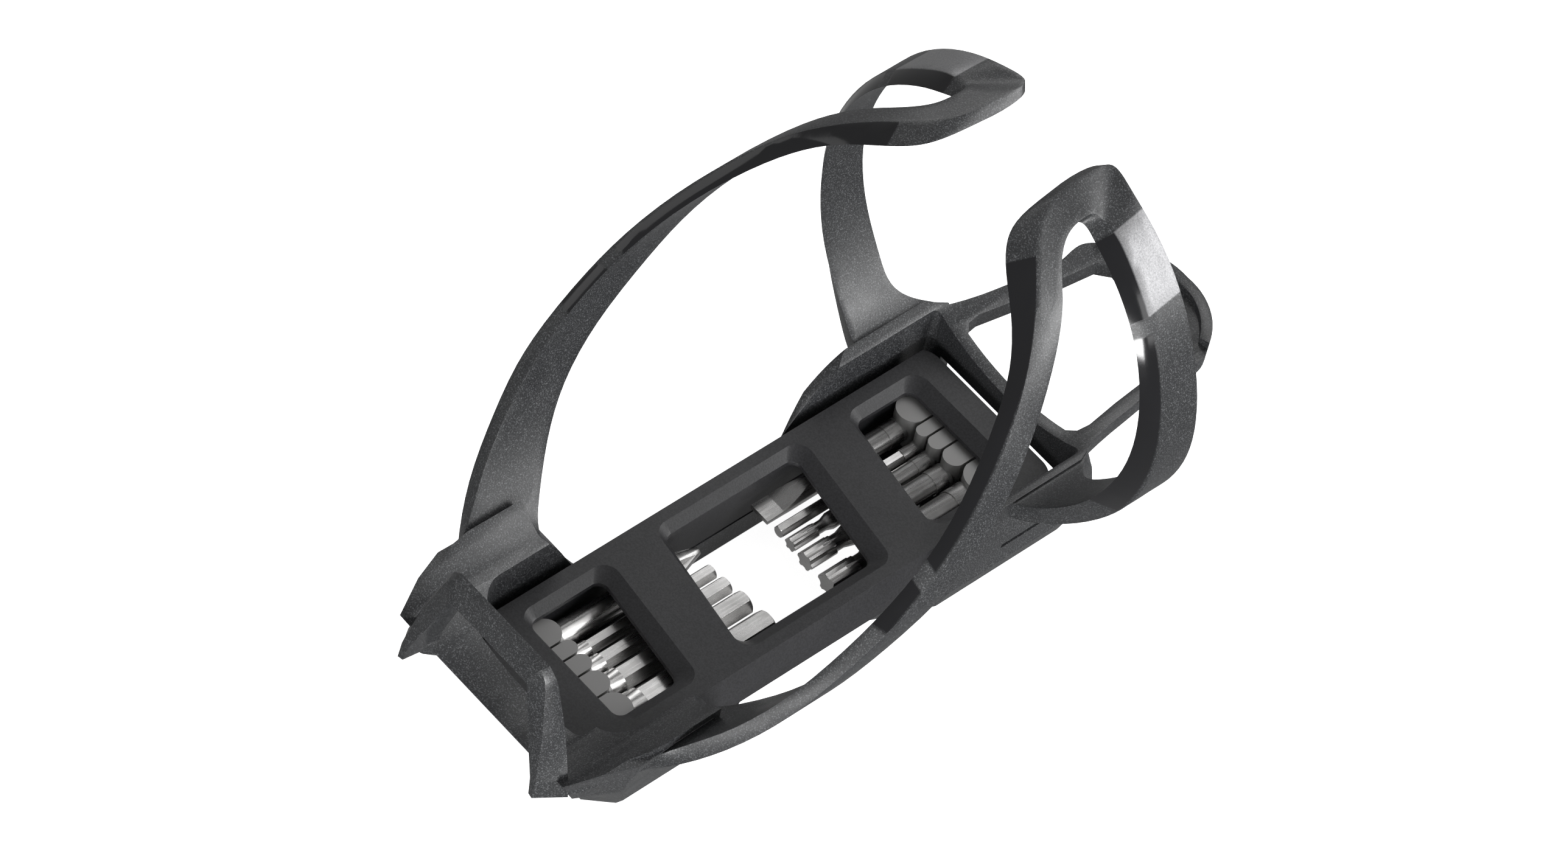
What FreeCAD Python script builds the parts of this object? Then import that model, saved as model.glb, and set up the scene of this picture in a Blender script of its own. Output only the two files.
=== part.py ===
import FreeCAD, Part
import math
import os

V = FreeCAD.Vector

# ---------------------------------------------------------------------------
# Water bottle cage with a folding key tool clipped in under the bottle.
# X is across the cage, +Y runs along the bottle towards its mouth and +Z runs
# from the bicycle frame to the bottle. The origin is on the mounting face,
# midway between the two cage bolts.
# ---------------------------------------------------------------------------

# Bottle seat
BOTTLE_R = 36.8          # radius of the seat that the bottle lies in
TOOL_TOP = 15.5          # height of the tool's cover above the mounting face
SEAT_GAP = 1.7           # the bottle's lowest line above the cover
AXIS_Z = TOOL_TOP + SEAT_GAP + BOTTLE_R

# Mounting
BOLT_SPACING = 64.0      # two M5 cage bolts, the usual spacing
BOLT_HOLE_R = 2.7
BACK_PLATE = 2.4         # thickness under the bolt heads
LEDGE_Z = 5.0            # the two rails that the tool rests on
RAIL_HALF = 11.8         # half width of the channel between the rails
WINDOW_FOOT = -19.0      # foot edge of the opening in the cage's back
WINDOW_MOUTH = 24.0      # mouth edge of that opening

# Cradle
FOOT_END = -58.9         # foot end of the cradle
MOUTH_WALL = 2.3         # wall across the mouth end of the pocket
MOUTH_GAP = 2.7          # finger gap between the tool and that wall
MOUTH_WALL_LOW = 12.0    # the wall's lower edge
POCKET_CORNER = 1.2      # the two corners of the pocket beside that gap
SLIT_LENGTH = 9.1        # slits that free the two latch fingers
SLIT_HEIGHT = 0.9
SLIT_Y = 39.3
SLIT_Z = 9.5

# Foot stop
STOP_TOP = 43.3          # top of the arch above the mounting face
STOP_BAR = 3.7           # depth of its top bar
STOP_FRONT = 3.6         # how far the bar's lower edge stands out at the foot end
STOP_BLADE = 5.3         # the same for the thin blades that its legs end in
STOP_TOP_HALF = 11.0
STOP_FOOT_HALF = 16.0
STOP_FOOT_Z = 18.2
SHELF_WALL = 3.8         # cradle shelf that the arch stands on

# Mouth struts and tab
STRUT_WALL = 3.1
TAB_HEAD = 13.8          # from the struts' narrowest place to the tab's end
TAB_END = 92.3
TAB_BAR = 8.3            # length of the solid end of the tab
TAB_LIP = 1.6            # height of the lip that catches the bottle
TAB_LIP_WALL = 1.9

# Tool
TOOL_FOOT = -47.4
TOOL_MOUTH = 48.5
TOOL_TOP_HALF = 15.65
TOOL_BAND_HALF = 17.3    # widest band of its sides
TOOL_BAND_TOP = 11.2
TOOL_BAND_LOW = 8.6
TOOL_BASE_HALF = 15.6
TOOL_CORNER = 4.6
TONGUE_HALF = 12.3       # tongue at its foot end, under the bottle
TONGUE_END = -50.9
TONGUE_LOW = 11.4
TOOL_SEAT_GAP = 0.3      # under the tool, above the rails
TOOL_SIDE_GAP = 0.4      # around the tool in its pocket
COVER_WALL = 2.0
KEY_BAY_HALF = 11.9      # half width of the bay that the keys fold into
FOOT_WALL = 1.2          # end walls of the bay
MOUTH_END_WALL = 2.2
BEVEL = 2.0              # sloped rim at the sides of each window
BEVEL_DEEP = 1.1
BEVEL_FOOT = 0.4         # share of it at a window's foot end
BEVEL_MOUTH = 1.5        # and at its mouth end

# Keys
PIVOT_Y = 42.0           # the two axles lie this far from the middle
KEY_Z = 9.3
EYE_R = 4.0
HEAD_HEEL = 2.6          # rounding under a head, which lets the key swing out
HEAD_REACH = 1.4         # how far a head goes on ahead of its eye
HEAD_NOSE = 0.8          # how full a head's round nose is; 1 is a half circle
AXLE_R = 1.75
AXLE_CLEAR = 0.05
AXLE_HEAD_R = 3.0
AXLE_HEAD = 1.2
AXLE_SEAT_X = 14.9       # counterbore floors in the tool's sides
COUNTERBORE_CLEAR = 0.15
WASHER_R = 3.3
WASHER = 0.3
WASHER_SIDES = 14        # sides of a washer's stamped rim
STACK_GAP = 0.4          # between neighbouring key heads
COLLAR_CLEAR = 0.05      # least room beside a key's round collar
TOOL_LOW = LEDGE_Z + TOOL_SEAT_GAP
HEAD_FRONT = PIVOT_Y - EYE_R - HEAD_REACH


# ---------------------------------------------------------------------------
# Helpers
# ---------------------------------------------------------------------------

def face_of(points):
    return Part.Face(Part.makePolygon(points + [points[0]]))


def both_sides(half):
    """Closes a half outline of (x, y) points, x > 0, with its mirror image."""
    return half + [(-x, y) for x, y in reversed(half)]


def ruled(levels):
    """Solid through horizontal outlines, given as (z, [(x, y), ...])."""
    wires = []
    for z, outline in levels:
        points = [V(x, y, z) for x, y in outline]
        wires.append(Part.makePolygon(points + [points[0]]))
    return Part.makeLoft(wires, True, True)


def rounded_plate(half_x, y0, y1, radius, z0, height):
    plate = Part.makeBox(2 * half_x, y1 - y0, height, V(-half_x, y0, z0))
    upright = [e for e in plate.Edges if abs(e.BoundBox.ZLength - height) < 1e-6]
    return plate.makeFillet(radius, upright)


def seat_cylinder(radius):
    """Cylinder about the bottle's axis, longer than the cage."""
    return Part.makeCylinder(radius, 400.0, V(0, -200.0, AXIS_Z), V(0, 1, 0))


def on_seat(theta, y, radius):
    """Point at an angle from the bottle's lowest line, in degrees."""
    t = math.radians(theta)
    return V(radius * math.sin(t), y, AXIS_Z - radius * math.cos(t))


def mirrored(shape):
    return shape.mirror(V(0, 0, 0), V(1, 0, 0))


# ---------------------------------------------------------------------------
# Cage: tub, cradle, foot stop, struts and arms, moulded in one
# ---------------------------------------------------------------------------

def tub_outside():
    """Outer form of the tub: narrow between its ends, wide at the arm roots."""
    top = AXIS_Z - BOTTLE_R + 8.0
    foot = ruled([
        (0.0, both_sides([(13.0, -48.2), (16.8, -44.0), (16.8, -27.0), (13.4, -17.0)])),
        (LEDGE_Z, both_sides([(14.6, -50.2), (19.3, -45.5), (19.3, -27.0), (15.4, -17.0)])),
        (14.0, both_sides([(18.4, -56.8), (22.0, -49.5), (22.0, -31.0), (17.6, -17.0)])),
        (top, both_sides([(20.4, -62.6), (25.0, -50.0), (24.6, -31.0), (19.8, -17.0)])),
    ])
    middle = ruled([
        (0.0, both_sides([(13.2, -30.0), (13.2, 30.0)])),
        (LEDGE_Z, both_sides([(15.4, -30.0), (15.4, 30.0)])),
    ])
    end = pocket_mouth() + MOUTH_WALL
    mouth = ruled([
        (0.0, both_sides([(13.4, 13.0), (17.6, 24.0), (17.6, end - 2.5), (15.6, end)])),
        (LEDGE_Z, both_sides([(15.4, 13.0), (19.2, 24.0), (19.2, end - 2.0), (16.6, end)])),
        (top, both_sides([(17.4, 13.0), (19.6, 24.0), (19.6, end - 4.5), (17.8, end)])),
    ])
    return foot.fuse([middle, mouth])


def pocket_mouth():
    return TOOL_MOUTH + MOUTH_GAP


def side_dip():
    """What is taken off the tub's side walls between the two ends."""
    z_seat = AXIS_Z - math.sqrt(BOTTLE_R ** 2 - 17.7 ** 2)
    foot = [V(0, -34.5, z_seat + 2.0), V(0, -29.5, 17.5), V(0, -24.5, 9.0), V(0, -19.0, LEDGE_Z)]
    mouth = [V(0, 14.0, LEDGE_Z), V(0, 18.5, 10.5), V(0, 25.0, 18.5), V(0, 34.5, z_seat + 1.6)]
    curve_a = Part.BSplineCurve()
    curve_a.interpolate(foot)
    curve_b = Part.BSplineCurve()
    curve_b.interpolate(mouth)
    high = AXIS_Z
    edges = [
        curve_a.toShape(),
        Part.LineSegment(foot[-1], mouth[0]).toShape(),
        curve_b.toShape(),
        Part.LineSegment(mouth[-1], V(0, mouth[-1].y, high)).toShape(),
        Part.LineSegment(V(0, mouth[-1].y, high), V(0, foot[0].y, high)).toShape(),
        Part.LineSegment(V(0, foot[0].y, high), foot[0]).toShape(),
    ]
    profile = Part.Face(Part.Wire(edges))
    profile.translate(V(-40, 0, 0))
    return profile.extrude(V(80, 0, 0))


def pocket():
    """Pocket for the tool, the channel below it and the opening in the back."""
    half = TOOL_BAND_HALF + TOOL_SIDE_GAP
    y0 = TOOL_FOOT - TOOL_SIDE_GAP
    y1 = pocket_mouth()
    high = AXIS_Z
    main = rounded_plate(half, y0, y1 - 20.0, TOOL_CORNER + TOOL_SIDE_GAP, LEDGE_Z, high)
    mouth = rounded_plate(half, y1 - 40.0, y1, POCKET_CORNER, LEDGE_Z, high)
    neck = rounded_plate(TONGUE_HALF + TOOL_SIDE_GAP, TONGUE_END - TOOL_SIDE_GAP, -40.0, 1.6,
                         TONGUE_LOW - TOOL_SIDE_GAP, high)
    channel = Part.makeBox(2 * RAIL_HALF, y1 - y0 - 3.0, high, V(-RAIL_HALF, y0 + 1.4, BACK_PLATE))
    under_wall = Part.makeBox(2 * 14.6, 12.0, MOUTH_WALL_LOW + 1.0, V(-14.6, y1 - 2.6, -1.0))
    window = rounded_plate(RAIL_HALF, WINDOW_FOOT, WINDOW_MOUTH, 2.0, -1.0, 12.0)
    holes = []
    for side in (-1, 1):
        y = side * BOLT_SPACING / 2
        holes.append(Part.makeCylinder(BOLT_HOLE_R, 12.0, V(0, y, -1.0)))
    return main.fuse([mouth, neck, channel, under_wall, window] + holes)


def latch_slits():
    slits = []
    for x in (-30.0, 15.0):
        slits.append(Part.makeBox(15.0, SLIT_LENGTH, SLIT_HEIGHT,
                                  V(x, SLIT_Y - SLIT_LENGTH / 2, SLIT_Z)))
    return slits


def foot_stop():
    """Arch that the bottle's base stands against, on two thin blades."""
    foot = STOP_FOOT_HALF
    top = STOP_TOP_HALF
    low = STOP_FOOT_Z
    bar = STOP_TOP - STOP_BAR
    # Corners of each section, bottle side out, foot side out, foot side in
    # and bottle side in, as x, depth behind the bottle's base and z
    half = [
        [(foot + 3.7, 0.5, low), (foot + 0.5, STOP_BLADE, low),
         (foot - 0.5, STOP_BLADE - 0.2, low), (foot - 1.4, -2.0, low)],
        [(foot + 2.7, 0.3, low + 4.0), (foot + 0.4, STOP_BLADE - 0.3, low + 3.6),
         (foot - 1.0, STOP_BLADE - 0.4, low + 3.6), (foot - 2.2, -0.6, low + 4.2)],
        [(foot + 0.1, 0.1, low + 13.3), (foot - 1.2, 3.7, low + 13.0),
         (foot - 4.0, 4.3, low + 12.6), (foot - 4.6, -0.6, low + 12.6)],
        [(top + 2.0, 0.3, bar + 0.8), (top + 1.3, 2.4, bar + 0.5),
         (top - 1.2, STOP_FRONT + 0.1, bar - 1.4), (top - 1.5, -0.5, bar - 1.8)],
        [(top + 1.3, 0.5, STOP_TOP - 1.4), (top + 0.7, 2.2, STOP_TOP - 1.7),
         (top - 1.7, STOP_FRONT, bar - 0.2), (top - 1.9, -0.5, bar - 0.5)],
        [(top - 0.3, 0.6, STOP_TOP), (top - 0.6, 2.0, STOP_TOP - 0.2),
         (top - 2.6, STOP_FRONT, bar), (top - 2.8, -0.4, bar - 0.3)],
    ]
    other = [[(-x, depth, z) for x, depth, z in section] for section in reversed(half)]
    wires = []
    for section in half + other:
        corners = [V(x, FOOT_END - depth, z) for x, depth, z in section]
        wires.append(Part.makePolygon(corners + [corners[0]]))
    return Part.makeLoft(wires, True, True)


def foot_cradle():
    """Curved shelf between the foot stop and the roots of the front legs."""
    outline = [(12.8, 3.0), (15.4, -0.8), (17.2, -2.2), (18.9, -0.9), (20.6, 1.6),
               (22.4, 6.6), (24.3, 11.1), (24.7, 14.6), (24.6, 25.6), (12.8, 25.6)]
    points = [V(x, FOOT_END + y, 0) for x, y in outline]
    slab = face_of(points).extrude(V(0, 0, AXIS_Z))
    ring = seat_cylinder(BOTTLE_R + SHELF_WALL).cut(seat_cylinder(BOTTLE_R))
    return slab.common(ring)


def strut_edge(inset=0.0):
    """Outer edge of one strut, from the tub to the middle of the tab's end."""
    wall = pocket_mouth() + MOUTH_WALL
    neck = TAB_END - TAB_HEAD
    points = [V(18.2, wall - 3.5, 0), V(17.3, wall, 0), V(16.1, wall + 6.0, 0),
              V(14.9, (wall + neck) / 2 + 2.0, 0), V(14.2, neck - 2.5, 0),
              V(14.7, TAB_END - 11.2, 0), V(12.9, TAB_END - 7.3, 0),
              V(9.0, TAB_END - 3.1, 0), V(4.5, TAB_END - 0.6, 0), V(0, TAB_END, 0)]
    centre = V(0, TAB_END - 12.0, 0)
    moved = [p - (p - centre).normalize() * inset for p in points]
    curve = Part.BSplineCurve()
    curve.interpolate(moved)
    return curve.toShape()


def strut_plan(inset=0.0):
    right = strut_edge(inset)
    left = mirrored(right)
    start = right.Vertexes[0].Point
    base = Part.LineSegment(V(-start.x, start.y, 0), start).toShape()
    return Part.Face(Part.Wire([base, right, left]))


def strut_opening():
    y0 = pocket_mouth() + MOUTH_WALL
    y1 = TAB_END - TAB_BAR
    span = y1 - y0
    half = [(12.0, y0), (13.4, y0 + span * 0.04), (13.7, y0 + span * 0.12),
            (12.7, y0 + span * 0.34), (12.0, y0 + span * 0.56), (11.7, y0 + span * 0.7),
            (11.0, y1 - span * 0.08), (9.0, y1)]
    return face_of([V(x, y, 0) for x, y in both_sides(half)])


def struts_and_tab():
    """Two struts that meet in a tab, with a low lip round the tab's end."""
    high = V(0, 0, AXIS_Z)
    plan = strut_plan()
    frame = plan.extrude(high).cut(strut_opening().extrude(high))
    shell = seat_cylinder(BOTTLE_R + STRUT_WALL).cut(seat_cylinder(BOTTLE_R))
    body = frame.common(shell)
    inset = strut_plan(TAB_LIP_WALL).extrude(high)
    tab = Part.makeBox(40, TAB_BAR + 5.0, AXIS_Z, V(-20, TAB_END - TAB_BAR, 0))
    lip_ring = seat_cylinder(BOTTLE_R + 0.5).cut(seat_cylinder(BOTTLE_R - TAB_LIP))
    lip = plan.extrude(high).cut(inset).common(tab).common(lip_ring)
    return body.fuse(lip)


# Stations along one arm. Each gives the outer edge of the loop and then its
# inner edge, as (angle, y) on the bottle side and on the outside, and how far
# its two wide faces lie outside the bottle seat. The front leg rises from the
# foot, the tip turns it over, and the rear leg comes down again.
FRONT_LEG = [
    ((30, -57.5), (30, -52.5), (30, -33.0), (30, -34.5), 0.6, 4.2),
    ((34, -54.0), (34, -47.6), (34, -31.6), (34, -33.1), 1.6, 4.6),
    ((40, -45.6), (40, -43.9), (40, -29.0), (40, -31.0), 1.7, 4.7),
    ((50, -38.5), (50, -38.6), (50, -24.4), (50, -26.9), 1.5, 4.3),
    ((62, -31.2), (62, -31.2), (62, -18.6), (62, -21.3), 1.0, 3.7),
    ((74, -24.0), (74, -24.2), (74, -11.3), (74, -13.6), 0.3, 3.0),
    ((86, -15.8), (86, -14.8), (86, -2.2), (86, -4.5), 0.0, 2.7),
    ((98, -7.0), (98, -5.6), (98, 5.3), (98, 3.0), -0.2, 2.4),
    ((111, 1.5), (111, 3.4), (111, 12.1), (111, 10.4), -0.6, 1.9),
    ((124, 9.3), (124, 11.4), (124, 18.7), (124, 17.5), -0.8, 1.7),
    ((135, 15.2), (135, 17.3), (134, 23.8), (134, 22.9), -0.7, 1.8),
]
TIP = [
    ((146.8, 19.3), (146.0, 22.8), (142.8, 28.0), (142.8, 27.4), -0.4, 1.5),
    ((157.6, 22.9), (156.2, 28.0), (150.8, 31.0), (150.6, 30.6), -0.3, 1.3),
    ((163.8, 27.2), (162.0, 32.2), (154.8, 33.6), (154.6, 33.4), -0.3, 1.2),
    ((166.7, 36.0), (165.2, 38.2), (156.8, 36.6), (156.7, 37.2), -0.3, 1.3),
    ((167.3, 43.6), (165.4, 44.4), (156.0, 38.4), (156.2, 40.5), -0.3, 1.1),
    ((165.3, 47.6), (164.4, 48.2), (153.6, 38.7), (153.8, 41.3), -0.3, 0.7),
    ((158.0, 47.4), (158.0, 48.4), (149.8, 38.6), (149.8, 41.5), -0.3, 1.2),
]
REAR_LEG = [
    ((146, 46.9), (146, 48.2), (143.5, 38.5), (143.5, 41.5), -0.2, 1.5),
    ((128, 46.5), (128, 48.1), (128, 38.2), (128, 41.2), 0.0, 1.6),
    ((110, 46.3), (110, 48.1), (110, 37.6), (110, 40.7), 0.0, 1.7),
    ((94, 46.0), (94, 48.4), (94, 37.1), (94, 40.3), 0.0, 2.3),
    ((78, 45.7), (78, 48.6), (78, 36.6), (78, 40.1), 0.0, 3.4),
    ((62, 45.6), (62, 48.4), (62, 35.8), (62, 39.4), 0.0, 4.1),
    ((48, 45.5), (48, 47.9), (48, 35.4), (48, 37.8), 0.2, 4.2),
    ((39, 46.0), (39, 47.8), (39, 35.0), (39, 36.4), 0.5, 4.2),
    ((33, 49.2), (33, 50.0), (33, 34.4), (33, 35.2), 0.4, 4.0),
    ((28, 52.8), (28, 53.0), (28, 34.0), (28, 34.6), 0.2, 3.6),
]


def ribbon(stations):
    wires = []
    for outer_in, outer_out, inner_in, inner_out, lift, rise in stations:
        r_in = BOTTLE_R + lift
        r_out = BOTTLE_R + rise
        corners = [
            on_seat(outer_in[0], outer_in[1], r_in),
            on_seat(outer_out[0], outer_out[1], r_out),
            on_seat(inner_out[0], inner_out[1], r_out),
            on_seat(inner_in[0], inner_in[1], r_in),
        ]
        wires.append(Part.makePolygon(corners + [corners[0]]))
    return Part.makeLoft(wires, True, False)


def arm():
    return ribbon(FRONT_LEG + TIP + REAR_LEG)


def cage_body():
    tub = tub_outside().cut(side_dip())
    tub = tub.cut(seat_cylinder(BOTTLE_R))
    shelf = foot_cradle()
    one_arm = arm()
    solids = [shelf, mirrored(shelf), foot_stop(), struts_and_tab(), one_arm, mirrored(one_arm)]
    body = tub.fuse(solids)
    body = body.cut(pocket())
    body = body.cut(latch_slits())
    return body.removeSplitter()


# ---------------------------------------------------------------------------
# Tool: cover with three windows, keys, axles, nuts and washers
# ---------------------------------------------------------------------------

WINDOWS = [
    # foot edge at -x and +x, mouth edge at -x and +x, half width
    (-41.2, -41.2, -25.7, -28.7, 11.2),
    (-12.2, -16.0, 16.0, 12.2, 11.6),
    (28.7, 25.4, 41.0, 41.0, 11.2),
]
WINDOW_CORNER = 1.8


def window_prism(window, grow, z0, height):
    """One window's outline with rounded corners, grown all round."""
    y_foot_l, y_foot_r, y_mouth_l, y_mouth_r, half = window
    x = half + grow
    foot = grow * BEVEL_FOOT
    mouth = grow * BEVEL_MOUTH
    points = [V(-x, y_foot_l - foot, z0), V(x, y_foot_r - foot, z0),
              V(x, y_mouth_r + mouth, z0), V(-x, y_mouth_l + mouth, z0)]
    prism = face_of(points).extrude(V(0, 0, height))
    upright = [e for e in prism.Edges if abs(e.BoundBox.ZLength - height) < 1e-6]
    return prism.makeFillet(WINDOW_CORNER + grow * 0.5, upright)


def window_bevel(window):
    """Shallow sloped rim round a window."""
    y_foot_l, y_foot_r, y_mouth_l, y_mouth_r, half = window
    wires = []
    for grow, z in ((-0.02, TOOL_TOP - BEVEL_DEEP), (BEVEL, TOOL_TOP + 0.05)):
        prism = window_prism(window, grow, z, 1.0)
        base = min(prism.Faces, key=lambda f: f.CenterOfMass.z)
        wires.append(base.OuterWire)
    return Part.makeLoft(wires, True, True)


def tool_outside():
    """Rounded plan with tapered sides, and the tongue at the foot end."""
    plan = rounded_plate(TOOL_BAND_HALF, TOOL_FOOT, TOOL_MOUTH, TOOL_CORNER,
                         TOOL_LOW, TOOL_TOP - TOOL_LOW)
    half = [(TOOL_BASE_HALF, TOOL_LOW), (TOOL_BAND_HALF, TOOL_BAND_LOW),
            (TOOL_BAND_HALF, TOOL_BAND_TOP), (TOOL_TOP_HALF, TOOL_TOP)]
    side = [V(x, TONGUE_END - 1.0, z) for x, z in both_sides(half)]
    length = TOOL_MOUTH - TONGUE_END + 2.0
    taper = face_of(side).extrude(V(0, length, 0))
    tongue = rounded_plate(TONGUE_HALF, TONGUE_END, TOOL_FOOT + 6.0, 1.4,
                           TONGUE_LOW, TOOL_TOP - TONGUE_LOW)
    return plan.common(taper).fuse(tongue)


def tool_body():
    outside = tool_outside()
    roof = TOOL_TOP - COVER_WALL
    y0 = TOOL_FOOT + FOOT_WALL
    y1 = TOOL_MOUTH - MOUTH_END_WALL
    bay = rounded_plate(KEY_BAY_HALF, y0, y1, 1.0, TOOL_LOW - 1.0, roof - TOOL_LOW + 1.0)
    cuts = [bay]
    for window in WINDOWS:
        cuts.append(window_prism(window, 0.0, TOOL_LOW, 20.0))
        cuts.append(window_bevel(window))
    for side in (-1, 1):
        cuts += axle_bore(side * PIVOT_Y)
    return outside.cut(cuts).removeSplitter()


def axle_bore(y):
    """Bore through both sides, with a counterbore for the head and the nut."""
    bore = Part.makeCylinder(AXLE_R + AXLE_CLEAR, 60.0, V(-30, y, KEY_Z), V(1, 0, 0))
    sink_r = AXLE_HEAD_R + COUNTERBORE_CLEAR
    head = Part.makeCylinder(sink_r, 20.0, V(AXLE_SEAT_X, y, KEY_Z), V(1, 0, 0))
    nut = Part.makeCylinder(sink_r, 20.0, V(-AXLE_SEAT_X, y, KEY_Z), V(-1, 0, 0))
    return [bore, head, nut]


def hex_prism(flats, length, x, y, z, axis):
    """Hexagonal bar along an axis, with a pair of flats facing +Z."""
    radius = flats / math.sqrt(3.0)
    points = []
    for i in range(6):
        a = math.radians(60 * i)
        u = radius * math.cos(a)
        w = radius * math.sin(a)
        if abs(axis.x) > 0.5:
            points.append(V(x, y + u, z + w))
        else:
            points.append(V(x + u, y, z + w))
    return face_of(points).extrude(axis * length)


def axle_bolt(y):
    """Screw with a flat round head and a hexagonal socket."""
    length = AXLE_SEAT_X * 2 + AXLE_HEAD
    shaft = Part.makeCylinder(AXLE_R, length, V(-AXLE_SEAT_X - AXLE_HEAD, y, KEY_Z), V(1, 0, 0))
    head = Part.makeCylinder(AXLE_HEAD_R, AXLE_HEAD, V(AXLE_SEAT_X, y, KEY_Z), V(1, 0, 0))
    rim = [e for e in head.Edges if e.BoundBox.XMin > AXLE_SEAT_X + AXLE_HEAD / 2]
    head = head.makeChamfer(0.25, rim)
    socket = hex_prism(2.5, 2.0, AXLE_SEAT_X + AXLE_HEAD - 1.8, y, KEY_Z, V(1, 0, 0))
    return shaft.fuse(head).cut(socket).removeSplitter()


def axle_nut(y):
    """Round nut with two spanner flats, seated in the other counterbore."""
    outer = Part.makeCylinder(AXLE_HEAD_R, AXLE_HEAD, V(-AXLE_SEAT_X, y, KEY_Z), V(-1, 0, 0))
    bore = Part.makeCylinder(AXLE_R + AXLE_CLEAR, 10.0, V(-AXLE_SEAT_X + 5, y, KEY_Z), V(-1, 0, 0))
    keep = Part.makeBox(10.0, 2 * AXLE_HEAD_R, 5.0, V(-20.0, y - AXLE_HEAD_R, KEY_Z - 2.5))
    return outer.common(keep).cut(bore)


# Where one key ends and the next begins across each stack
FOOT_STACK = [-11.7, -6.1, -2.9, 0.75, 5.6, 11.7]
MOUTH_STACK = [-11.7, -5.6, -2.8, 0.5, 4.9, 11.7]


def many_sided(radius, sides, x, y, length):
    """Prism along +X about an axle, with that many sides."""
    ring = []
    for i in range(sides):
        a = 2 * math.pi * i / sides
        ring.append(V(x, y + radius * math.cos(a), KEY_Z + radius * math.sin(a)))
    return face_of(ring).extrude(V(length, 0, 0))


def washers(stack, y):
    """Thin washers that keep the keys apart on their axle."""
    rings = []
    for i, x in enumerate(stack):
        centre = x
        if i == 0:
            centre = -KEY_BAY_HALF + STACK_GAP / 2
        if i == len(stack) - 1:
            centre = KEY_BAY_HALF - STACK_GAP / 2
        disc = many_sided(WASHER_R, WASHER_SIDES, centre - WASHER / 2, y, WASHER)
        bore_r = (AXLE_R + AXLE_CLEAR) / math.cos(math.pi / WASHER_SIDES)
        hole = many_sided(bore_r, WASHER_SIDES, centre - 1.0, y, 2.0)
        rings.append(disc.cut(hole))
    return Part.makeCompound(rings)


def key_head(x0, x1, side):
    """Flat eye of a key: round behind the axle, with a round nose ahead."""
    width = x1 - x0
    pivot = side * PIVOT_Y
    front = side * HEAD_FRONT
    low = KEY_Z - EYE_R
    heel = HEAD_HEEL * (1 - math.sqrt(0.5))
    outline = Part.Wire([
        Part.LineSegment(V(x0, pivot, KEY_Z + EYE_R), V(x0, front, KEY_Z + EYE_R)).toShape(),
        Part.LineSegment(V(x0, front, KEY_Z + EYE_R), V(x0, front, low + HEAD_HEEL)).toShape(),
        Part.Arc(V(x0, front, low + HEAD_HEEL), V(x0, front + side * heel, low + heel),
                 V(x0, front + side * HEAD_HEEL, low)).toShape(),
        Part.LineSegment(V(x0, front + side * HEAD_HEEL, low), V(x0, pivot, low)).toShape(),
        Part.Arc(V(x0, pivot, low), V(x0, pivot + side * EYE_R, KEY_Z),
                 V(x0, pivot, KEY_Z + EYE_R)).toShape(),
    ])
    head = Part.Face(outline).extrude(V(width, 0, 0))
    nose = front + side * width / 2 * HEAD_NOSE
    back = pivot + side * EYE_R * 1.2
    plan = Part.Wire([
        Part.LineSegment(V(x0, back, 0), V(x0, nose, 0)).toShape(),
        Part.Arc(V(x0, nose, 0), V((x0 + x1) / 2, front, 0), V(x1, nose, 0)).toShape(),
        Part.LineSegment(V(x1, nose, 0), V(x1, back, 0)).toShape(),
        Part.LineSegment(V(x1, back, 0), V(x0, back, 0)).toShape(),
    ])
    return head.common(Part.Face(plan).extrude(V(0, 0, 40)))


def bore_key(key, side):
    hole = Part.makeCylinder(AXLE_R + AXLE_CLEAR, 40.0, V(-20, side * PIVOT_Y, KEY_Z), V(1, 0, 0))
    return key.cut(hole).removeSplitter()


def key_base(stack, index, side, collar_r):
    """Head and round collar of the key in one place of its stack."""
    x0 = stack[index] + STACK_GAP / 2
    x1 = stack[index + 1] - STACK_GAP / 2
    x = (x0 + x1) / 2
    head = key_head(x0, x1, side)
    collar_r = min(collar_r, (x1 - x0 + STACK_GAP) / 2 - COLLAR_CLEAR)
    start = side * HEAD_FRONT
    collar = Part.makeCylinder(collar_r, 3.5, V(x, start + side * 0.5, KEY_Z), V(0, -side, 0))
    return x, head.fuse(collar), start


def hex_key(stack, index, side, flats, tip_y):
    """Hexagonal key, its end chamfered."""
    x, base, start = key_base(stack, index, side, flats * 0.6)
    way = V(0, -side, 0)
    length = abs(start) - tip_y
    bar = hex_prism(flats, length, x, start, KEY_Z, way)
    point = Part.makeCone(flats * 0.75, flats * 0.5, flats * 0.25,
                          V(x, side * (tip_y + flats * 0.25), KEY_Z), way)
    trunk = Part.makeCylinder(flats, length, V(x, start, KEY_Z), way)
    trunk = trunk.common(Part.makeBox(20, length - flats * 0.25, 20, box_corner(x, start, side,
                         length - flats * 0.25)))
    bar = bar.common(trunk.fuse(point))
    return bore_key(base.fuse(bar), side)


def box_corner(x, start, side, length):
    y = start if side < 0 else start - length
    return V(x - 10, y, KEY_Z - 10)


def star_face(radius, lobes=6):
    """Six-lobed end of a star key, in the XZ plane: blunt lobes, round hollows."""
    ring = []
    step = 2 * math.pi / lobes
    for i in range(lobes):
        for share, r in ((-0.13, 1.0), (0.13, 1.0), (0.36, 0.78), (0.64, 0.78)):
            a = (i + share) * step
            ring.append(V(radius * r * math.cos(a), 0, radius * r * math.sin(a)))
    return face_of(ring)


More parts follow.
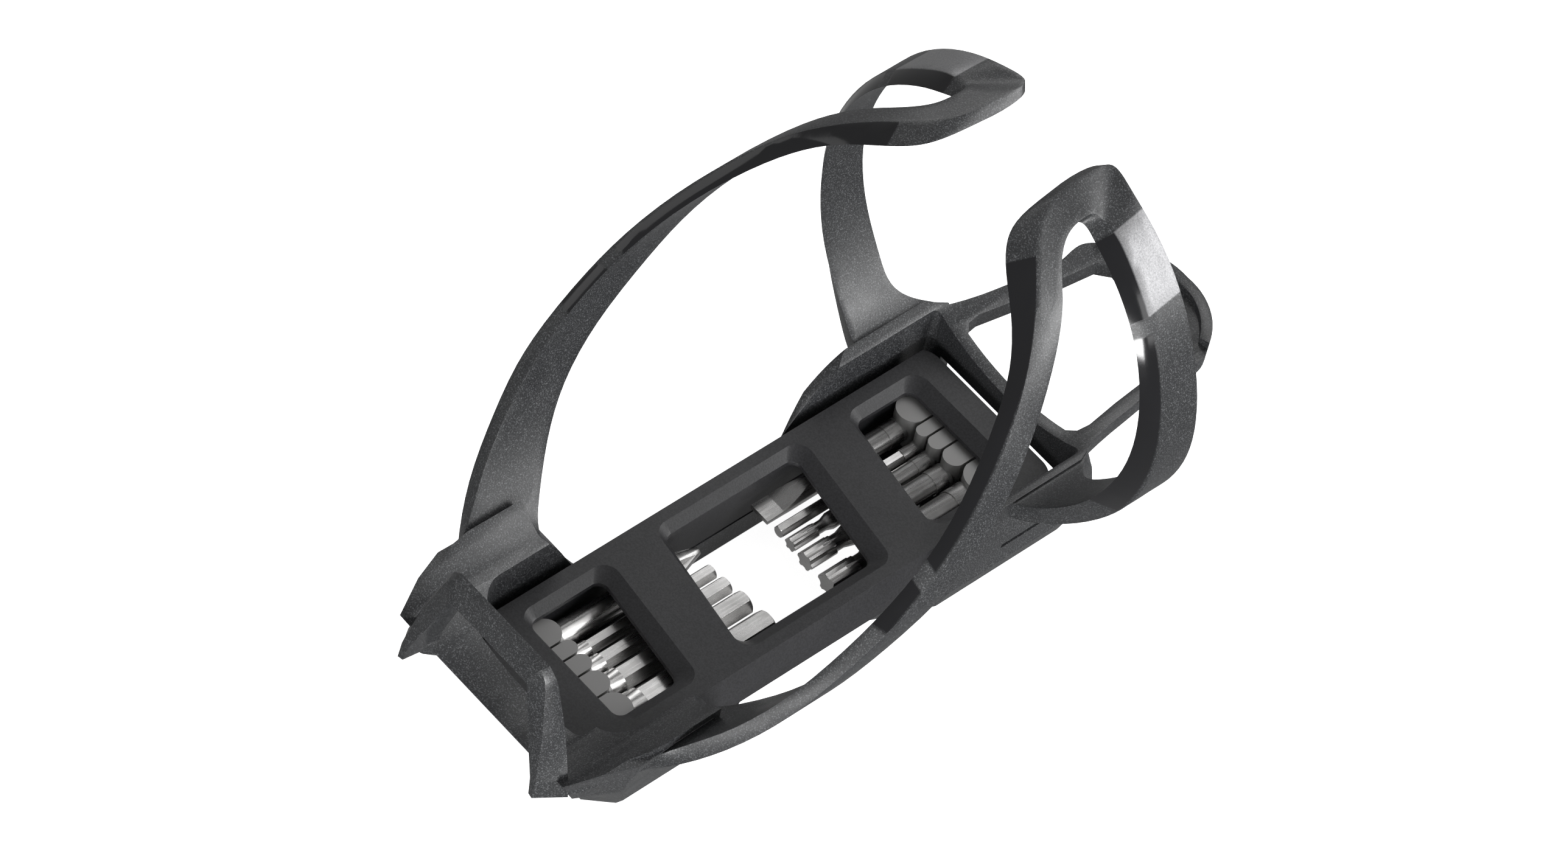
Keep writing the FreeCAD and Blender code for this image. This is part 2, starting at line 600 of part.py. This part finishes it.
def star_key(stack, index, side, shank_r, tip_r, tip_length, tip_y):
    """Round shank that necks down to a star-shaped end."""
    x, base, start = key_base(stack, index, side, shank_r * 1.08)
    way = V(0, -side, 0)
    shank_end = tip_y + tip_length + shank_r
    shank = Part.makeCylinder(shank_r, abs(start) - shank_end, V(x, start, KEY_Z), way)
    neck = Part.makeCone(shank_r, tip_r * 0.8, shank_r, V(x, side * shank_end, KEY_Z), way)
    core = Part.makeCylinder(tip_r * 0.8, tip_length * 0.5,
                             V(x, side * (tip_y + tip_length), KEY_Z), way)
    star = star_face(tip_r)
    star.translate(V(x, side * tip_y, KEY_Z))
    star = star.extrude(V(0, side * tip_length * 0.75, 0))
    return bore_key(base.fuse([shank, neck, core, star]), side)


def cross_driver(stack, index, side, shank_r, tip_y):
    """Round shank with a cross-shaped point."""
    x, base, start = key_base(stack, index, side, shank_r * 1.05)
    way = V(0, -side, 0)
    cone = 5.0
    length = abs(start) - tip_y - cone
    shank = Part.makeCylinder(shank_r, length, V(x, start, KEY_Z), way)
    point = Part.makeCone(shank_r, 0.7, cone, V(x, side * (tip_y + cone), KEY_Z), way)
    flute = 0.9
    for a in (45, 135, 225, 315):
        c = math.cos(math.radians(a))
        s = math.sin(math.radians(a))
        reach = shank_r * 0.52
        cut = Part.makeBox(4.0, cone + 2.0, 4.0, V(0, 0, 0))
        cut.rotate(V(0, 0, 0), V(0, 1, 0), -a + 45)
        y0 = -(cone + tip_y) if side < 0 else tip_y - 2.0
        cut.translate(V(x + reach * c * flute, y0, KEY_Z + reach * s * flute))
        point = point.cut(cut)
    return bore_key(base.fuse([shank, point]), side)


def flat_driver(stack, index, side, shank_r, blade_y, tip_y):
    """Round shank whose end is ground to a flat blade."""
    x, base, start = key_base(stack, index, side, shank_r * 1.05)
    way = V(0, -side, 0)
    shank = Part.makeCylinder(shank_r, abs(start) - tip_y, V(x, start, KEY_Z), way)
    tools = []
    for up in (-1, 1):
        wedge = [V(x - 5, side * blade_y, KEY_Z + up * shank_r * 1.02),
                 V(x - 5, side * (tip_y + 3.5), KEY_Z + up * 0.55),
                 V(x - 5, side * (tip_y - 1.0), KEY_Z + up * 0.4),
                 V(x - 5, side * (tip_y - 1.0), KEY_Z + up * shank_r * 2)]
        tools.append(face_of(wedge).extrude(V(10, 0, 0)))
    return bore_key(base.fuse(shank.cut(tools)), side)


# ---------------------------------------------------------------------------
# Build
# ---------------------------------------------------------------------------

# The keys in order across each stack, with the sizes that tell them apart;
# tip_y is how far from the middle of the tool a folded key's end stops.
FOOT_KEYS = [
    ("cross_driver", cross_driver, {"shank_r": 2.2, "tip_y": 6.4}),
    ("hex_key_2_5mm", hex_key, {"flats": 2.5, "tip_y": 7.2}),
    ("hex_key_3mm", hex_key, {"flats": 3.0, "tip_y": 7.0}),
    ("hex_key_4mm", hex_key, {"flats": 4.0, "tip_y": 6.7}),
    ("hex_key_5mm", hex_key, {"flats": 5.0, "tip_y": 6.5}),
]
MOUTH_KEYS = [
    ("flat_driver", flat_driver, {"shank_r": 2.1, "blade_y": 17.0, "tip_y": 6.6}),
    ("hex_key_2mm", hex_key, {"flats": 2.0, "tip_y": 6.9}),
    ("star_key_small", star_key,
     {"shank_r": 1.5, "tip_r": 1.3, "tip_length": 7.0, "tip_y": 6.8}),
    ("star_key_medium", star_key,
     {"shank_r": 2.0, "tip_r": 1.8, "tip_length": 7.5, "tip_y": 6.6}),
    ("star_key_large", star_key,
     {"shank_r": 2.7, "tip_r": 2.2, "tip_length": 8.0, "tip_y": 6.5}),
]


def end_parts(place, side, stack, keys):
    """Keys, bolt, nut and washers of the axle at one end of the tool."""
    y = side * PIVOT_Y
    parts = {}
    for index, (name, make, sizes) in enumerate(keys):
        parts[name] = make(stack, index, side, **sizes)
    parts["axle_bolt_" + place] = axle_bolt(y)
    parts["axle_nut_" + place] = axle_nut(y)
    parts["washers_" + place] = washers(stack, y)
    return parts


def all_parts():
    parts = {"cage_body": cage_body(), "tool_body": tool_body()}
    parts.update(end_parts("foot", -1, FOOT_STACK, FOOT_KEYS))
    parts.update(end_parts("mouth", 1, MOUTH_STACK, MOUTH_KEYS))
    return parts


def main():
    os.makedirs("parts", exist_ok=True)
    for name, shape in all_parts().items():
        box = shape.BoundBox
        print(name, "solids", len(shape.Solids), "valid", shape.isValid(),
              "volume %.0f" % shape.Volume,
              "x %.1f..%.1f y %.1f..%.1f z %.1f..%.1f"
              % (box.XMin, box.XMax, box.YMin, box.YMax, box.ZMin, box.ZMax))
        shape.exportStep("parts/%s.step" % name)


main()
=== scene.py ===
# %% [markdown]
# # Water bottle cage with a folding key tool
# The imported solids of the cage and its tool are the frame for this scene.
# This lesson gives them real finishes: grained nylon, smooth matt plastic
# and dark plated steel. Nothing is moved, so every piece stays where the
# solids say.

# %% Load the frame
import math

import bpy
from mathutils import Matrix, Vector


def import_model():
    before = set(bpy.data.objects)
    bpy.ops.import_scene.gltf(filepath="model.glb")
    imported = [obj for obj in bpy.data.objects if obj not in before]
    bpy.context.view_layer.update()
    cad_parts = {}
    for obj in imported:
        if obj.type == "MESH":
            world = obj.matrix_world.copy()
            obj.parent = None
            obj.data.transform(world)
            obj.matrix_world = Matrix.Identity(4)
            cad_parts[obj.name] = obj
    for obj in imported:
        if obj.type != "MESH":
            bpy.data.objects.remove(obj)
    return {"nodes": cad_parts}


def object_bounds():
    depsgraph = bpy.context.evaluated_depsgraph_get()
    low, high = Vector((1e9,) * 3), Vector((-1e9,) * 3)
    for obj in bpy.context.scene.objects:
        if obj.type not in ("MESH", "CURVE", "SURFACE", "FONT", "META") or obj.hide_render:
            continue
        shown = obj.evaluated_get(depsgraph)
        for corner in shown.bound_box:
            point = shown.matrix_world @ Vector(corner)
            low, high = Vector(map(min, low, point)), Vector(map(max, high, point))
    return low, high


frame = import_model()
cad_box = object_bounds()
nodes = frame["nodes"]
print("nodes", len(nodes), "box", cad_box)

# %% [markdown]
# ## The bottle's axis
# The arms curl round the bottle, so their printed strips and their grain
# are easiest to place by the angle round that axis. These sizes are the
# ones the solids were drawn with, in metres.

# %% Sizes that the finishes need
AXIS_Z = 0.0540
MM = 0.001
print("bottle axis at", AXIS_Z, "m above the mounting face")

# %% [markdown]
# ## Small helpers for node materials
# A procedural material is a chain of nodes. These helpers make a node,
# set its plain inputs and link its linked ones, so that each finish below
# reads as a short recipe.

# %% Node helpers
def new_material(name):
    material = bpy.data.materials.new(name)
    material.use_nodes = True
    tree = material.node_tree
    tree.nodes.clear()
    output = tree.nodes.new("ShaderNodeOutputMaterial")
    shader = tree.nodes.new("ShaderNodeBsdfPrincipled")
    tree.links.new(shader.outputs[0], output.inputs[0])
    return material, tree, shader


def put(tree, socket, value):
    if hasattr(value, "links"):
        tree.links.new(value, socket)
    else:
        socket.default_value = value


def math_node(tree, operation, a, b=0.0, c=0.0, clamp=False):
    node = tree.nodes.new("ShaderNodeMath")
    node.operation = operation
    node.use_clamp = clamp
    for socket, value in zip(node.inputs, (a, b, c)):
        put(tree, socket, value)
    return node.outputs[0]


def vector_dot(tree, a, b):
    node = tree.nodes.new("ShaderNodeVectorMath")
    node.operation = "DOT_PRODUCT"
    put(tree, node.inputs[0], a)
    put(tree, node.inputs[1], b)
    return node.outputs["Value"]


def noise(tree, coords, scale, detail=2.0, rough=0.5):
    node = tree.nodes.new("ShaderNodeTexNoise")
    put(tree, node.inputs["Vector"], coords)
    node.inputs["Scale"].default_value = scale
    node.inputs["Detail"].default_value = detail
    node.inputs["Roughness"].default_value = rough
    return node.outputs["Fac"]


def ramp(tree, fac, stops):
    node = tree.nodes.new("ShaderNodeValToRGB")
    put(tree, node.inputs[0], fac)
    scale = node.color_ramp
    while len(scale.elements) < len(stops):
        scale.elements.new(0.5)
    for element, (at, colour) in zip(scale.elements, stops):
        element.position = at
        element.color = (*colour, 1.0)
    return node.outputs[0]


def spread(tree, value, low, high, to_low, to_high):
    """Maps one range onto another, held at both ends."""
    node = tree.nodes.new("ShaderNodeMapRange")
    node.clamp = True
    for socket, part in zip(node.inputs, (value, low, high, to_low, to_high)):
        put(tree, socket, part)
    return node.outputs[0]


def mix_colour(tree, fac, a, b):
    node = tree.nodes.new("ShaderNodeMix")
    node.data_type = "RGBA"
    put(tree, node.inputs[0], fac)
    put(tree, node.inputs[6], a)
    put(tree, node.inputs[7], b)
    return node.outputs[2]


def bump(tree, height, distance, strength):
    node = tree.nodes.new("ShaderNodeBump")
    node.inputs["Strength"].default_value = strength
    node.inputs["Distance"].default_value = distance
    put(tree, node.inputs["Height"], height)
    return node.outputs[0]


def object_coords(tree):
    return tree.nodes.new("ShaderNodeTexCoord")


print("helpers ready")

# %% [markdown]
# ## Bands round the bottle
# Each leg of an arm has a narrow face printed in gloss black. It isn't a
# flat face: it twists with the leg, so it can't be picked by the way it
# looks. It does stay on one side of the leg's ridge, and the ridge is a
# simple curve of the angle round the bottle, measured in degrees from the
# bottle's lowest line. So a mask asks which side of that curve a point is
# on. A second mask, a band between two values with soft edges, cuts the
# strips to length. Painting on the unwrapped mesh would work too, but it
# would need a picture for each arm.

# %% Masks
def band(tree, value, low, high, soft):
    rise = spread(tree, value, low - soft, low + soft, 0.0, 1.0)
    fall = spread(tree, value, high - soft, high + soft, 1.0, 0.0)
    return math_node(tree, "MULTIPLY", rise, fall)


# Where the printed faces of the two legs end: y in mm as a curve of the
# angle, given as the factors of 1, angle and angle squared
FRONT_RIDGE = (-99.72, 1.2009, -0.002464)
REAR_RIDGE = (37.8, 0.0262, 0.0)


def curve_of(tree, angle, factors):
    start, slope, bend = factors
    bent = math_node(tree, "MULTIPLY_ADD", angle, bend, slope)
    return math_node(tree, "MULTIPLY_ADD", bent, angle, start)


def before(tree, y, ridge):
    """1 on the foot side of a ridge given in mm, 0 beyond it."""
    minus_ridge = math_node(tree, "MULTIPLY", ridge, -1.0)
    gap = math_node(tree, "MULTIPLY_ADD", y, 1.0 / MM, minus_ridge)
    return spread(tree, gap, -0.25, 0.05, 1.0, 0.0)


def bottle_angle(tree, x, z):
    side = math_node(tree, "ABSOLUTE", x)
    drop = math_node(tree, "SUBTRACT", AXIS_Z, z)
    angle = math_node(tree, "ARCTAN2", side, drop)
    return math_node(tree, "MULTIPLY", angle, 180.0 / math.pi)


print("ridges", FRONT_RIDGE, REAR_RIDGE)


# %% [markdown]
# ## Cage nylon
# The cage is one moulding of glass-filled nylon: charcoal, satin, with a
# fine speckle where the fibres come to the surface and a spark-eroded
# grain. Noise at two sizes gives the speckle and the cloudiness, and a
# third as bump gives the grain. The gloss-black strips are smoother and
# darker than the nylon. The silver patch on each rear leg is half
# metallic, like ink with flakes in it, and it is left plain. Everything
# is placed in the object's own coordinates, so it turns with the cage.

# %% Cage nylon
SPECK_SCALE = 4200.0
GRAIN_SCALE = 2600.0
# Printed lengths: along Y in mm on the front leg, in degrees on the rear
FRONT_LOW = (-20.0, -10.0)
FRONT_HIGH = (-7.3, 30.0)
FRONT_START = (83.6, 84.4)
# The front strip ends where the angle plus this slope times Y reaches a limit
FRONT_SLOPE = 0.535
FRONT_LIMIT = (169.4, 169.8)
REAR_LOW = (62.0, 124.0)
REAR_HIGH = (128.0, 150.5)
REAR_FROM_Y = (33.5, 34.0)
PATCH_ANGLE = (129.2, 151.0)
PATCH_Y = (38.0, 49.5)
PATCH_MIDDLE_Y = 45.0
PATCH_SLANT = 0.2
GLOSS_BLACK = (0.006, 0.006, 0.007, 1.0)


def cage_nylon():
    material, tree, shader = new_material("cage_nylon")
    coords = object_coords(tree)
    place = coords.outputs["Object"]
    split = tree.nodes.new("ShaderNodeSeparateXYZ")
    put(tree, split.inputs[0], place)
    x, y, z = split.outputs
    speck = noise(tree, place, SPECK_SCALE, 2.0, 0.6)
    cloud = noise(tree, place, 90.0, 3.0, 0.55)
    base = ramp(tree, speck, [
        (0.34, (0.0120, 0.0126, 0.0138)),
        (0.54, (0.0245, 0.0255, 0.0270)),
        (0.70, (0.1100, 0.1130, 0.1170)),
    ])
    cloudy = ramp(tree, cloud, [
        (0.3, (0.78, 0.78, 0.79)),
        (0.7, (1.0, 1.0, 1.0)),
    ])
    tint = tree.nodes.new("ShaderNodeMix")
    tint.data_type = "RGBA"
    tint.blend_type = "MULTIPLY"
    tint.inputs[0].default_value = 1.0
    put(tree, tint.inputs[6], base)
    put(tree, tint.inputs[7], cloudy)
    colour = tint.outputs[2]

    angle = bottle_angle(tree, x, z)
    # How squarely the surface faces the bottle's axis: 1 on the wide faces
    flat = tree.nodes.new("ShaderNodeCombineXYZ")
    put(tree, flat.inputs[0], x)
    put(tree, flat.inputs[2], math_node(tree, "SUBTRACT", z, AXIS_Z))
    unit = tree.nodes.new("ShaderNodeVectorMath")
    unit.operation = "NORMALIZE"
    put(tree, unit.inputs[0], flat.outputs[0])
    facing = vector_dot(tree, coords.outputs["Normal"], unit.outputs[0])
    outside = spread(tree, facing, -0.45, -0.35, 0.0, 1.0)

    # Front leg, the narrow face towards the foot: two lengths with a gap.
    # The face ends along a line that climbs with the angle.
    ridge = curve_of(tree, angle, FRONT_RIDGE)
    soft = 0.2 * MM
    low_strip = band(tree, y, FRONT_LOW[0] * MM, FRONT_LOW[1] * MM, soft)
    high_strip = band(tree, y, FRONT_HIGH[0] * MM, FRONT_HIGH[1] * MM, soft)
    front = math_node(tree, "MAXIMUM", low_strip, high_strip)
    begun = spread(tree, angle, *FRONT_START, 0.0, 1.0)
    front = math_node(tree, "MULTIPLY", front, begun)
    reach = math_node(tree, "MULTIPLY_ADD", y, FRONT_SLOPE / MM, angle)
    not_over = spread(tree, reach, *FRONT_LIMIT, 1.0, 0.0)
    front = math_node(tree, "MULTIPLY", front, not_over)
    front = math_node(tree, "MULTIPLY", front, before(tree, y, ridge))
    # Rear leg, the narrow face inside the loop: two lengths with a gap
    ridge = curve_of(tree, angle, REAR_RIDGE)
    rear_low = band(tree, angle, *REAR_LOW, 0.4)
    rear_high = band(tree, angle, *REAR_HIGH, 0.4)
    rear = math_node(tree, "MAXIMUM", rear_low, rear_high)
    rear = math_node(tree, "MULTIPLY", rear, before(tree, y, ridge))
    on_leg = spread(
        tree, y, REAR_FROM_Y[0] * MM, REAR_FROM_Y[1] * MM, 0.0, 1.0)
    rear = math_node(tree, "MULTIPLY", rear, on_leg)
    both = math_node(tree, "MAXIMUM", front, rear)
    strip = math_node(tree, "MULTIPLY", both, outside)

    # Silver patch on the outside of each rear leg, its ends cut slanting
    off_middle = math_node(tree, "SUBTRACT", y, PATCH_MIDDLE_Y * MM)
    slant = math_node(tree, "MULTIPLY", off_middle, PATCH_SLANT / MM)
    along = math_node(tree, "SUBTRACT", angle, slant)
    patch = band(tree, along, *PATCH_ANGLE, 0.2)
    across = band(tree, y, PATCH_Y[0] * MM, PATCH_Y[1] * MM, 0.1 * MM)
    patch = math_node(tree, "MULTIPLY", patch, across)
    outward = spread(tree, facing, 0.80, 0.86, 0.0, 1.0)
    patch = math_node(tree, "MULTIPLY", patch, outward)
    unprinted = math_node(tree, "SUBTRACT", 1.0, strip)
    patch = math_node(tree, "MULTIPLY", patch, unprinted)

    colour = mix_colour(tree, strip, colour, GLOSS_BLACK)
    silver = ramp(tree, speck, [
        (0.3, (0.17, 0.17, 0.175)),
        (0.7, (0.27, 0.27, 0.275)),
    ])
    colour = mix_colour(tree, patch, colour, silver)
    put(tree, shader.inputs["Base Color"], colour)

    rough = spread(tree, cloud, 0.3, 0.7, 0.36, 0.47)
    rough = math_node(tree, "MULTIPLY_ADD", strip, -0.30, rough, clamp=True)
    put(tree, shader.inputs["Roughness"], rough)
    flakes = math_node(tree, "MULTIPLY", patch, 0.55)
    put(tree, shader.inputs["Metallic"], flakes)
    shader.inputs["IOR"].default_value = 1.53
    grain = noise(tree, place, GRAIN_SCALE, 3.0, 0.6)
    smooth_there = math_node(tree, "MULTIPLY_ADD", strip, -0.9, 1.0)
    height = math_node(tree, "MULTIPLY", grain, smooth_there)
    put(tree, shader.inputs["Normal"], bump(tree, height, 0.00004, 0.6))
    return material


nylon = cage_nylon()
print("made", nylon.name)

# %% [markdown]
# ## Tool plastic
# The tool's body is a smoother, darker moulding than the cage. It keeps a
# very light grain, and its edges are polished a little by thumbs and
# bottles, so the roughness varies slowly over the surface.

# %% Tool plastic
def tool_plastic():
    material, tree, shader = new_material("tool_plastic")
    place = object_coords(tree).outputs["Object"]
    fine = noise(tree, place, 3200.0, 2.0, 0.5)
    cloud = noise(tree, place, 60.0, 3.0, 0.6)
    colour = ramp(tree, fine, [
        (0.35, (0.0085, 0.0085, 0.0095)),
        (0.65, (0.017, 0.017, 0.019)),
    ])
    put(tree, shader.inputs["Base Color"], colour)
    rough = spread(tree, cloud, 0.3, 0.7, 0.42, 0.55)
    put(tree, shader.inputs["Roughness"], rough)
    shader.inputs["IOR"].default_value = 1.5
    put(tree, shader.inputs["Normal"], bump(tree, fine, 0.00003, 0.5))
    return material


tool_black = tool_plastic()
print("made", tool_black.name)

# %% [markdown]
# ## Plated steel
# Keys are drawn wire, plated and barrel-polished: a dark, warm-grey metal
# with fine marks along the bar and soft blotches in the plating. Noise
# stretched along Y gives the drawn marks. It drives the roughness more
# than the bump, because deep marks would break up the long highlights
# that make a bar look round or six-sided. The flat heads are duller and
# darker than the bars, and the same material tells them apart by how far
# they lie from the middle of the tool.

# %% Plated steel
# The keys' flat heads start this far from the middle, in mm along Y. They
# are stamped and tumbled, so they are duller than the bars.
HEAD_FROM_Y = (36.3, 36.5)
HEAD_TONE = 0.50
HEAD_ROUGH = 0.62


def plated_steel(name, dark, light, rough_low, rough_high, dull_heads):
    material, tree, shader = new_material(name)
    place = object_coords(tree).outputs["Object"]
    stretch = tree.nodes.new("ShaderNodeVectorMath")
    stretch.operation = "MULTIPLY"
    put(tree, stretch.inputs[0], place)
    stretch.inputs[1].default_value = (1.0, 0.05, 1.0)
    drawn = noise(tree, stretch.outputs[0], 2400.0, 3.0, 0.6)
    blotch = noise(tree, place, 180.0, 3.0, 0.6)
    colour = ramp(tree, blotch, [(0.3, dark), (0.7, light)])
    rough = spread(tree, drawn, 0.3, 0.7, rough_low, rough_high)
    if dull_heads:
        split = tree.nodes.new("ShaderNodeSeparateXYZ")
        put(tree, split.inputs[0], place)
        reach = math_node(tree, "ABSOLUTE", split.outputs[1])
        head = spread(
            tree, reach, HEAD_FROM_Y[0] * MM, HEAD_FROM_Y[1] * MM, 0.0, 1.0)
        dull = [channel * HEAD_TONE for channel in light] + [1.0]
        colour = mix_colour(tree, head, colour, dull)
        gap = math_node(tree, "SUBTRACT", HEAD_ROUGH, rough)
        rough = math_node(tree, "MULTIPLY_ADD", gap, head, rough)
    put(tree, shader.inputs["Base Color"], colour)
    shader.inputs["Metallic"].default_value = 1.0
    put(tree, shader.inputs["Roughness"], rough)
    grit = noise(tree, place, 2200.0, 2.0, 0.6)
    both = math_node(tree, "MULTIPLY_ADD", drawn, 0.5, grit)
    put(tree, shader.inputs["Normal"], bump(tree, both, 0.000004, 0.3))
    return material


key_steel = plated_steel(
    "key_steel", (0.40, 0.395, 0.39), (0.55, 0.545, 0.54), 0.23, 0.34,
    dull_heads=True)
axle_steel = plated_steel(
    "axle_steel", (0.13, 0.13, 0.13), (0.26, 0.26, 0.26), 0.28, 0.42,
    dull_heads=False)
print("made", key_steel.name, axle_steel.name)

# %% [markdown]
# ## Dress the solids
# Each solid keeps its shape and gets its finish. Moulded edges are never
# sharp, so a small bevel is added by a modifier, which leaves the solid's
# own mesh as it is. Its vertices are welded first, because the faces come
# in unjoined at sharp edges.

# %% Finishes and soft edges
EDGE_WIDTH = {"cage_body": 0.55 * MM, "tool_body": 0.35 * MM}
KEY_EDGE = 0.12 * MM


def dress(name, obj, material, width):
    obj.data.materials.clear()
    obj.data.materials.append(material)
    weld = obj.modifiers.new("weld", "WELD")
    weld.merge_threshold = 0.000002
    soft = obj.modifiers.new("edges", "BEVEL")
    soft.width = width
    soft.segments = 2
    soft.limit_method = "ANGLE"
    soft.angle_limit = math.radians(32)
    soft.use_clamp_overlap = True
    soft.harden_normals = False


for name, obj in nodes.items():
    if name == "cage_body":
        finish = nylon
    elif name == "tool_body":
        finish = tool_black
    elif name.startswith(("axle", "washers")):
        finish = axle_steel
    else:
        finish = key_steel
    dress(name, obj, finish, EDGE_WIDTH.get(name, KEY_EDGE))
print("dressed", len(nodes), "solids")

# %% [markdown]
# ## Floor, light and camera
# Product shots of dark plastic are lit from behind and from the side, so
# that edges and wide faces turn towards the light one after another, and
# the front stays dark.

# %% [markdown]
# ## Floor
# A pale paper sheet lies a hair below the mounting face. It glows a
# little, as paper on a light table does, so the shadow on it stays faint.
# Its bounce is left out, because light from below would flatten the arms'
# undersides.

# %% Floor
def floor():
    mesh = bpy.data.meshes.new("floor")
    z = cad_box[0][2] - 0.0002
    size = 3.0
    corners = [(-size, -size, z), (size, -size, z),
               (size, size, z), (-size, size, z)]
    mesh.from_pydata(corners, [], [(0, 1, 2, 3)])
    obj = bpy.data.objects.new("floor", mesh)
    bpy.context.scene.collection.objects.link(obj)
    material, tree, shader = new_material("floor_paper")
    place = object_coords(tree).outputs["Object"]
    mottled = noise(tree, place, 30.0, 3.0, 0.5)
    tone = ramp(tree, mottled, [
        (0.3, (0.95, 0.95, 0.95)),
        (0.7, (0.97, 0.97, 0.97)),
    ])
    put(tree, shader.inputs["Base Color"], tone)
    shader.inputs["Roughness"].default_value = 0.9
    put(tree, shader.inputs["Emission Color"], tone)
    shader.inputs["Emission Strength"].default_value = 0.95
    mesh.materials.append(material)
    obj.visible_diffuse = False
    obj.visible_glossy = False
    return obj


paper = floor()
print("floor", paper.name)

# %% [markdown]
# ## Lights
# The two broad panels behind and to the right draw the form of the arms.
# A low panel on the right lifts the sides, a panel beyond the foot fills
# the stop, and a narrow strip above the mouth runs a highlight along the
# keys. A small panel stands where the view is mirrored in a level face,
# so the bars' top flats light up while the matt cover stays dark. A dim
# world fills the rest. The powers were first worked out by rendering the
# panels one at a time and weighing them together, and then adjusted.

# %% Lights
def area_light(name, at, target, size, power):
    light = bpy.data.lights.new(name, "AREA")
    light.shape = "RECTANGLE"
    light.size, light.size_y = size
    light.energy = power
    obj = bpy.data.objects.new(name, light)
    obj.location = at
    toward = Vector(target) - Vector(at)
    obj.rotation_euler = toward.to_track_quat("-Z", "Y").to_euler()
    bpy.context.scene.collection.objects.link(obj)


CENTRE = (0.0, 0.01, 0.03)
area_light("back", (0.25, 1.2, 0.8), CENTRE, (0.9, 0.4), 3.5)
area_light("back_right", (0.9, 0.9, 0.6), CENTRE, (0.6, 0.6), 14.0)
area_light("back_left", (-0.9, 0.8, 0.7), CENTRE, (0.6, 0.6), 3.4)
area_light("side", (1.3, 0.15, 0.5), CENTRE, (0.6, 0.6), 3.0)
area_light("foot", (0.2, -1.3, 0.4), CENTRE, (0.6, 0.6), 9.0)
area_light("low_side", (1.1, -0.6, 0.2), CENTRE, (0.6, 0.3), 16.0)
area_light("left", (-1.1, -0.7, 0.5), CENTRE, (0.4, 0.8), 0.8)
area_light("top_strip", (0.35, 0.75, 1.1), CENTRE, (0.9, 0.25), 0.8)
area_light("key_panel", (-0.55, 0.70, 1.15), CENTRE, (0.35, 0.5), 0.9)
world = bpy.data.worlds.new("studio")
world.use_nodes = True
background = world.node_tree.nodes["Background"]
background.inputs[0].default_value = (1.0, 1.0, 1.0, 1.0)
background.inputs[1].default_value = 0.29
bpy.context.scene.world = world
# The plain view keeps the paper white, where the filmic one greys it
bpy.context.scene.view_settings.view_transform = "Standard"

# %% [markdown]
# ## Camera
# The camera is long and far away, looking down on the cage from beyond
# its foot and turned so that the cage climbs across the picture. It is
# given by its three directions, which leaves no doubt about its roll.

# %% Camera
lens = bpy.data.cameras.new("camera")
lens.sensor_width = 36.0
lens.lens = 181.68
lens.clip_start = 0.05
camera = bpy.data.objects.new("camera", lens)
right = Vector((0.6491, 0.7469, 0.1443))
up = Vector((-0.6583, 0.4565, 0.5986))
back = Vector((0.3812, -0.4835, 0.7880))
turn = Matrix((right, up, back)).transposed().to_4x4()
place = Matrix.Translation((0.47373, -0.60395, 1.02749))
camera.matrix_world = place @ turn
bpy.context.scene.collection.objects.link(camera)
bpy.context.scene.camera = camera
print("camera", [round(v, 3) for v in camera.location])
